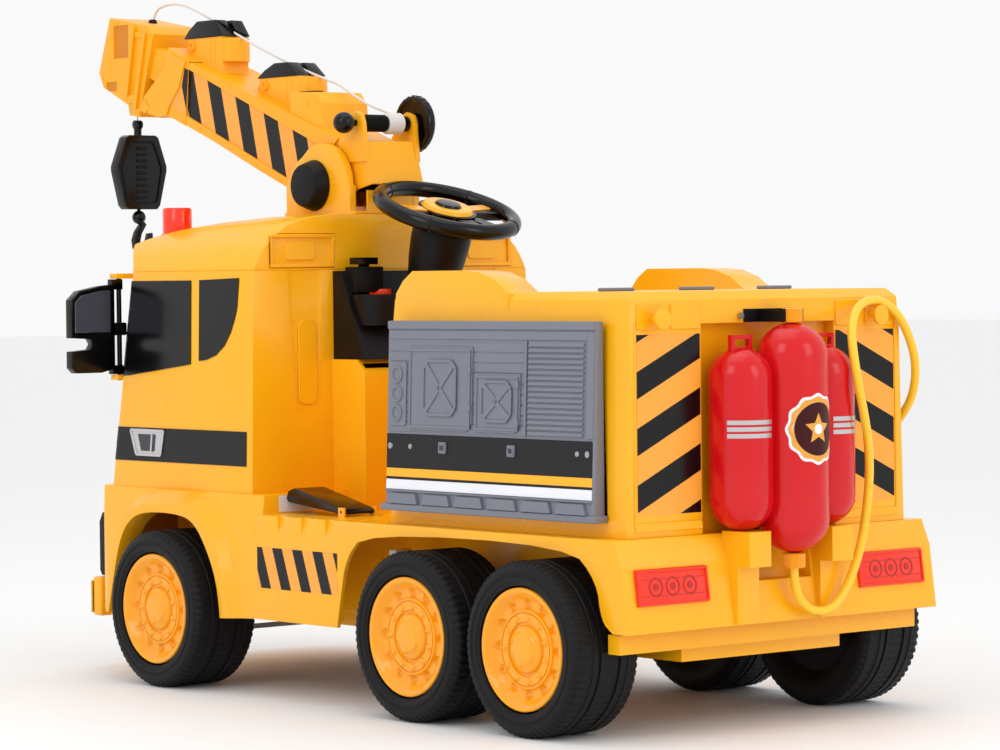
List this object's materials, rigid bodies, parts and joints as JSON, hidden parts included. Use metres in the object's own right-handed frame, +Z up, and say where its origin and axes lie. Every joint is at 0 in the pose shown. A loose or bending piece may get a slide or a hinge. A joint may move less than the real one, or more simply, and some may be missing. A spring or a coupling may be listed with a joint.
{
  "type": "toy crane truck",
  "caption": "Ride-on toy crane truck with open cab, equipment box seat, lifting and extending crane boom, winch, hook, steering, mirrors and hose.",
  "frame": {"origin": "on the ground below the middle of the truck's bounding box", "axes": "+X forward, the way the truck drives and its longest side; +Y to the driver's left; +Z up"},
  "size_m": [1.658, 0.71, 1.082],
  "materials": {
    "yellow_body": "glossy moulded polypropylene",
    "cap_yellow": "glossy moulded plastic",
    "black_gloss": "glossy black",
    "black_matte": "satin black",
    "grey_panel": "satin grey",
    "red_gloss": "glossy red",
    "lamp_red": "translucent red",
    "chrome": "plated",
    "tyre_black": "satin, moulded tread",
    "steel": "zinc plated",
    "rope": "braided white cord",
    "hose_yellow": "smooth yellow hose"
  },
  "bodies": {
    "truck": {"lower_body": "yellow_body", "cab_shell": "yellow_body", "cab_roof": "yellow_body", "front_bumper": "yellow_body", "bumper_trim": "chrome", "front_grille": "black_matte", "beacons": "lamp_red", "dash_console": "black_matte", "seat_box": "yellow_body", "side_panel_left": "grey_panel", "side_panel_right": "grey_panel", "tail_lights": "lamp_red", "extinguishers": "red_gloss", "extinguisher_caps": "hose_yellow", "extinguisher_strap": "black_matte", "chassis_frame": "yellow_body", "rear_axles": "steel", "axle_nuts": "steel", "drive_units": "black_matte", "battery": "black_matte", "control_box": "black_matte", "screws": "steel", "hose": "hose_yellow", "hose_nozzle": "hose_yellow", "crane_base": "yellow_body", "lift_pin": "black_matte"},
    "boom": {"boom_outer": "yellow_body", "rope_guides": "black_gloss", "boom_rope": "rope"},
    "boom_slide": {"boom_inner": "yellow_body"},
    "winch": {"winch_drum": "black_gloss", "winch_wheel": "black_gloss"},
    "hoist": {"hoist_rope": "rope"},
    "hook_block": {"hook_block": "black_gloss"},
    "hook": {"hook": "black_gloss"},
    "steering": {"steering_wheel": "black_gloss", "steering_plate": "yellow_body", "steering_shaft": "steel"},
    "horn": {"horn_button": "black_gloss"},
    "knuckle_left": {"knuckle_left": "steel"},
    "knuckle_right": {"knuckle_right": "steel"},
    "tie_rod": {"tie_rod": "steel"},
    "mirror_left": {"mirror_left": "black_gloss"},
    "mirror_right": {"mirror_right": "black_gloss"},
    "brake_pedal": {"brake_pedal": "black_gloss"},
    "accelerator_pedal": {"accelerator_pedal": "black_gloss"},
    "gear_lever": {"gear_lever": "black_gloss"},
    "rocker_switch": {"rocker_switch": "lamp_red"},
    "wheel_front_left": {"tyre_front_left": "tyre_black", "wheel_cap_front_left": "cap_yellow"},
    "wheel_front_right": {"tyre_front_right": "tyre_black", "wheel_cap_front_right": "cap_yellow"},
    "wheel_middle_left": {"tyre_middle_left": "tyre_black", "wheel_cap_middle_left": "cap_yellow"},
    "wheel_middle_right": {"tyre_middle_right": "tyre_black", "wheel_cap_middle_right": "cap_yellow"},
    "wheel_rear_left": {"tyre_rear_left": "tyre_black", "wheel_cap_rear_left": "cap_yellow"},
    "wheel_rear_right": {"tyre_rear_right": "tyre_black", "wheel_cap_rear_right": "cap_yellow"}
  },
  "joints": [
    {"name": "boom_lift", "type": "hinge", "parent": "truck", "child": "boom", "pos_m": [0.204, 0, 0.766], "axis": [0, -1, 0], "range_deg": [-20, 18]},
    {"name": "boom_extend", "type": "slide", "parent": "boom", "child": "boom_slide", "axis": [0.9272, 0, 0.3746], "range_m": [0, 0.06], "deforming": ["boom_rope"]},
    {"name": "winch_spin", "type": "hinge", "parent": "boom", "child": "winch", "pos_m": [0.117, 0, 0.86], "axis": [0, 1, 0], "range_deg": [0, 360]},
    {"name": "hoist_drop", "type": "slide", "parent": "boom_slide", "child": "hoist", "axis": [0, 0, 1], "range_m": [-0.085, 0]},
    {"name": "hook_swing", "type": "hinge", "parent": "hoist", "child": "hook_block", "pos_m": [0.79, 0, 0.884], "axis": [0, 1, 0], "range_deg": [-35, 35]},
    {"name": "hook_swivel", "type": "hinge", "parent": "hook_block", "child": "hook", "pos_m": [0.79, 0, 0.741], "axis": [0, 0, 1], "continuous": true},
    {"name": "steering_turn", "type": "hinge", "parent": "truck", "child": "steering", "pos_m": [-0.038, 0, 0.723], "axis": [-0.342, 0, 0.9397], "range_deg": [-45, 45]},
    {"name": "horn_press", "type": "slide", "parent": "steering", "child": "horn", "axis": [0.342, 0, -0.9397], "range_m": [0, 0.003], "stiffness_N_per_m": 400},
    {"name": "knuckle_left_turn", "type": "hinge", "parent": "truck", "child": "knuckle_left", "pos_m": [0.285, 0.2, 0.12], "axis": [0, 0, 1], "range_deg": [-12.1, 12.1]},
    {"name": "knuckle_right_turn", "type": "hinge", "parent": "truck", "child": "knuckle_right", "pos_m": [0.285, -0.2, 0.12], "axis": [0, 0, 1], "range_deg": [-12.1, 12.1]},
    {"name": "tie_rod_slide", "type": "slide", "parent": "truck", "child": "tie_rod", "axis": [0, 1, 0], "range_m": [-0.0127, 0.0127]},
    {"name": "wheel_front_left_spin", "type": "hinge", "parent": "knuckle_left", "child": "wheel_front_left", "pos_m": [0.285, 0.27, 0.12], "axis": [0, 1, 0], "continuous": true},
    {"name": "wheel_front_right_spin", "type": "hinge", "parent": "knuckle_right", "child": "wheel_front_right", "pos_m": [0.285, -0.27, 0.12], "axis": [0, 1, 0], "continuous": true},
    {"name": "wheel_middle_left_spin", "type": "hinge", "parent": "truck", "child": "wheel_middle_left", "pos_m": [-0.337, 0.27, 0.12], "axis": [0, 1, 0], "continuous": true},
    {"name": "wheel_middle_right_spin", "type": "hinge", "parent": "truck", "child": "wheel_middle_right", "pos_m": [-0.337, -0.27, 0.12], "axis": [0, 1, 0], "continuous": true},
    {"name": "wheel_rear_left_spin", "type": "hinge", "parent": "truck", "child": "wheel_rear_left", "pos_m": [-0.587, 0.27, 0.12], "axis": [0, 1, 0], "continuous": true},
    {"name": "wheel_rear_right_spin", "type": "hinge", "parent": "truck", "child": "wheel_rear_right", "pos_m": [-0.587, -0.27, 0.12], "axis": [0, 1, 0], "continuous": true},
    {"name": "mirror_left_fold", "type": "hinge", "parent": "truck", "child": "mirror_left", "pos_m": [0.462, 0.262, 0.549], "axis": [0, 0, 1], "range_deg": [-10, 45]},
    {"name": "mirror_right_fold", "type": "hinge", "parent": "truck", "child": "mirror_right", "pos_m": [0.462, -0.262, 0.549], "axis": [0, 0, 1], "range_deg": [-45, 10]},
    {"name": "brake_press", "type": "hinge", "parent": "truck", "child": "brake_pedal", "pos_m": [-0.083, 0.2114, 0.2795], "axis": [0, 1, 0], "range_deg": [0, 5], "stiffness_Nm_per_rad": 2, "springref_deg": -8.59},
    {"name": "accelerator_press", "type": "hinge", "parent": "truck", "child": "accelerator_pedal", "pos_m": [-0.083, -0.2114, 0.2795], "axis": [0, 1, 0], "range_deg": [0, 5], "stiffness_Nm_per_rad": 2, "springref_deg": -8.59},
    {"name": "gear_shift", "type": "hinge", "parent": "truck", "child": "gear_lever", "pos_m": [0.064, 0.0815, 0.616], "axis": [0, 1, 0], "range_deg": [-10, 10]},
    {"name": "rocker_tilt", "type": "hinge", "parent": "truck", "child": "rocker_switch", "pos_m": [0.035, 0.073, 0.597], "axis": [0, 1, 0], "range_deg": [-8, 8]}
  ],
  "couplings": [
    {"joint": "knuckle_left_turn", "follows": "steering_turn", "ratio": 0.26667},
    {"joint": "knuckle_right_turn", "follows": "steering_turn", "ratio": 0.26667},
    {"joint": "tie_rod_slide", "follows": "steering_turn", "m_per_rad": -0.016},
    {"joint": "hoist_drop", "follows": "winch_spin", "m_per_rad": -0.013}
  ]
}
